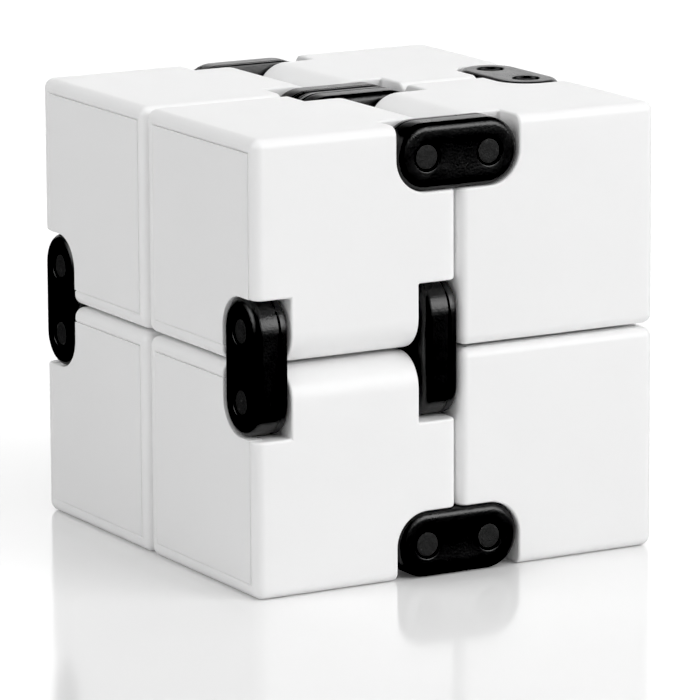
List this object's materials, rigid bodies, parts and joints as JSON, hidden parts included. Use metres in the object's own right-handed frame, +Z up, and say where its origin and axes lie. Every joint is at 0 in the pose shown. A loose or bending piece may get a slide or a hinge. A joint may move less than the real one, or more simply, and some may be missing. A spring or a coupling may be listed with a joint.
{
  "type": "folding infinity cube fidget toy",
  "caption": "Pocket fidget cube of white hollow cubelets in a closed ring, joined by black two-pin hinge links, which folds inside out over and over.",
  "frame": {"origin": "centre of the closed cube's bottom, on the surface it stands on", "axes": "+Z up, +Y to the back, +X to the right; the front face with the top and bottom links faces -Y, the shells' cap panels on the left column face -X"},
  "size_m": [0.04, 0.04, 0.04],
  "materials": {
    "white_shell": "satin moulded ABS, fine texture",
    "white_cap": "satin moulded ABS, fine texture",
    "black_link": "semi-gloss moulded plastic, fine texture",
    "dark_pin": "blackened steel, satin"
  },
  "bodies": {
    "cubelet_back_top_right": {"shell_back_top_right": "white_shell", "cap_back_top_right": "white_cap"},
    "cubelet_front_bottom_left": {"shell_front_bottom_left": "white_shell", "cap_front_bottom_left": "white_cap"},
    "cubelet_front_top_left": {"shell_front_top_left": "white_shell", "cap_front_top_left": "white_cap"},
    "cubelet_back_bottom_left": {"shell_back_bottom_left": "white_shell", "cap_back_bottom_left": "white_cap"},
    "cubelet_back_top_left": {"shell_back_top_left": "white_shell", "cap_back_top_left": "white_cap"},
    "cubelet_front_bottom_right": {"shell_front_bottom_right": "white_shell", "cap_front_bottom_right": "white_cap"},
    "cubelet_front_top_right": {"shell_front_top_right": "white_shell", "cap_front_top_right": "white_cap"},
    "cubelet_back_bottom_right": {"shell_back_bottom_right": "white_shell", "cap_back_bottom_right": "white_cap"},
    "link_right_top": {"plate_right_top_outer": "black_link", "plate_right_top_inner": "black_link", "pin_right_top_back": "dark_pin", "pin_right_top_front": "dark_pin"},
    "link_top_back": {"plate_top_back_outer": "black_link", "plate_top_back_inner": "black_link", "pin_top_back_left": "dark_pin", "pin_top_back_right": "dark_pin"},
    "link_top_front": {"plate_top_front_outer": "black_link", "plate_top_front_inner": "black_link", "pin_top_front_left": "dark_pin", "pin_top_front_right": "dark_pin"},
    "link_bottom_back": {"plate_bottom_back_outer": "black_link", "plate_bottom_back_inner": "black_link", "pin_bottom_back_left": "dark_pin", "pin_bottom_back_right": "dark_pin"},
    "link_bottom_front": {"plate_bottom_front_outer": "black_link", "plate_bottom_front_inner": "black_link", "pin_bottom_front_left": "dark_pin", "pin_bottom_front_right": "dark_pin"},
    "link_left_back": {"plate_left_back_outer": "black_link", "plate_left_back_inner": "black_link", "pin_left_back_top": "dark_pin", "pin_left_back_bottom": "dark_pin"},
    "link_left_front": {"plate_left_front_outer": "black_link", "plate_left_front_inner": "black_link", "pin_left_front_top": "dark_pin", "pin_left_front_bottom": "dark_pin"},
    "half_link_right_bottom_back": {"half_plate_right_bottom_outer_back": "black_link", "half_plate_right_bottom_inner_back": "black_link", "pin_right_bottom_back": "dark_pin"},
    "half_link_right_bottom_front": {"half_plate_right_bottom_outer_front": "black_link", "half_plate_right_bottom_inner_front": "black_link", "pin_right_bottom_front": "dark_pin"}
  },
  "joints": [
    {"name": "right_top_back_pivot", "type": "hinge", "parent": "cubelet_back_top_right", "child": "link_right_top", "pos_m": [0.01705, 0.0031, 0.03008], "axis": [0, 0, 1], "range_deg": [0, 90]},
    {"name": "right_top_front_pivot", "type": "hinge", "parent": "link_right_top", "child": "cubelet_front_top_right", "pos_m": [0.01705, -0.0031, 0.03008], "axis": [0, 0, 1], "range_deg": [0, 90]},
    {"name": "top_back_right_pivot", "type": "hinge", "parent": "cubelet_back_top_right", "child": "link_top_back", "pos_m": [0.0031, 0.01008, 0.03705], "axis": [0, 1, 0], "range_deg": [0, 90]},
    {"name": "top_back_left_pivot", "type": "hinge", "parent": "link_top_back", "child": "cubelet_back_top_left", "pos_m": [-0.0031, 0.01008, 0.03705], "axis": [0, 1, 0], "range_deg": [0, 90]},
    {"name": "left_back_top_pivot", "type": "hinge", "parent": "cubelet_back_top_left", "child": "link_left_back", "pos_m": [-0.01008, 0.01705, 0.0231], "axis": [1, 0, 0], "range_deg": [0, 90]},
    {"name": "left_back_bottom_pivot", "type": "hinge", "parent": "link_left_back", "child": "cubelet_back_bottom_left", "pos_m": [-0.01008, 0.01705, 0.0169], "axis": [1, 0, 0], "range_deg": [0, 90]},
    {"name": "bottom_back_left_pivot", "type": "hinge", "parent": "cubelet_back_bottom_left", "child": "link_bottom_back", "pos_m": [-0.0031, 0.01008, 0.00295], "axis": [0, 1, 0], "range_deg": [0, 90]},
    {"name": "bottom_back_right_pivot", "type": "hinge", "parent": "link_bottom_back", "child": "cubelet_back_bottom_right", "pos_m": [0.0031, 0.01008, 0.00295], "axis": [0, 1, 0], "range_deg": [0, 90]},
    {"name": "right_bottom_back_pivot", "type": "hinge", "parent": "cubelet_back_bottom_right", "child": "half_link_right_bottom_back", "pos_m": [0.01705, 0.0031, 0.00992], "axis": [0, 0, 1], "range_deg": [0, 90]},
    {"name": "top_front_right_pivot", "type": "hinge", "parent": "cubelet_front_top_right", "child": "link_top_front", "pos_m": [0.0031, -0.01008, 0.03705], "axis": [0, 1, 0], "range_deg": [0, 90]},
    {"name": "top_front_left_pivot", "type": "hinge", "parent": "link_top_front", "child": "cubelet_front_top_left", "pos_m": [-0.0031, -0.01008, 0.03705], "axis": [0, 1, 0], "range_deg": [0, 90]},
    {"name": "left_front_top_pivot", "type": "hinge", "parent": "cubelet_front_top_left", "child": "link_left_front", "pos_m": [-0.01008, -0.01705, 0.0231], "axis": [-1, 0, 0], "range_deg": [0, 90]},
    {"name": "left_front_bottom_pivot", "type": "hinge", "parent": "link_left_front", "child": "cubelet_front_bottom_left", "pos_m": [-0.01008, -0.01705, 0.0169], "axis": [-1, 0, 0], "range_deg": [0, 90]},
    {"name": "bottom_front_left_pivot", "type": "hinge", "parent": "cubelet_front_bottom_left", "child": "link_bottom_front", "pos_m": [-0.0031, -0.01008, 0.00295], "axis": [0, 1, 0], "range_deg": [0, 90]},
    {"name": "bottom_front_right_pivot", "type": "hinge", "parent": "link_bottom_front", "child": "cubelet_front_bottom_right", "pos_m": [0.0031, -0.01008, 0.00295], "axis": [0, 1, 0], "range_deg": [0, 90]},
    {"name": "right_bottom_front_pivot", "type": "hinge", "parent": "cubelet_front_bottom_right", "child": "half_link_right_bottom_front", "pos_m": [0.01705, -0.0031, 0.00992], "axis": [0, 0, -1], "range_deg": [0, 90]}
  ],
  "couplings": [
    {"joint": "right_bottom_back_pivot", "follows": "right_top_back_pivot", "ratio": 1},
    {"joint": "right_bottom_front_pivot", "follows": "right_top_front_pivot", "ratio": 1},
    {"joint": "left_front_top_pivot", "follows": "left_back_top_pivot", "ratio": 1},
    {"joint": "left_front_bottom_pivot", "follows": "left_back_bottom_pivot", "ratio": 1},
    {"joint": "bottom_back_left_pivot", "follows": "top_back_left_pivot", "ratio": 1},
    {"joint": "bottom_back_right_pivot", "follows": "top_back_right_pivot", "ratio": 1},
    {"joint": "bottom_front_left_pivot", "follows": "top_front_left_pivot", "ratio": 1},
    {"joint": "bottom_front_right_pivot", "follows": "top_front_right_pivot", "ratio": 1}
  ]
}
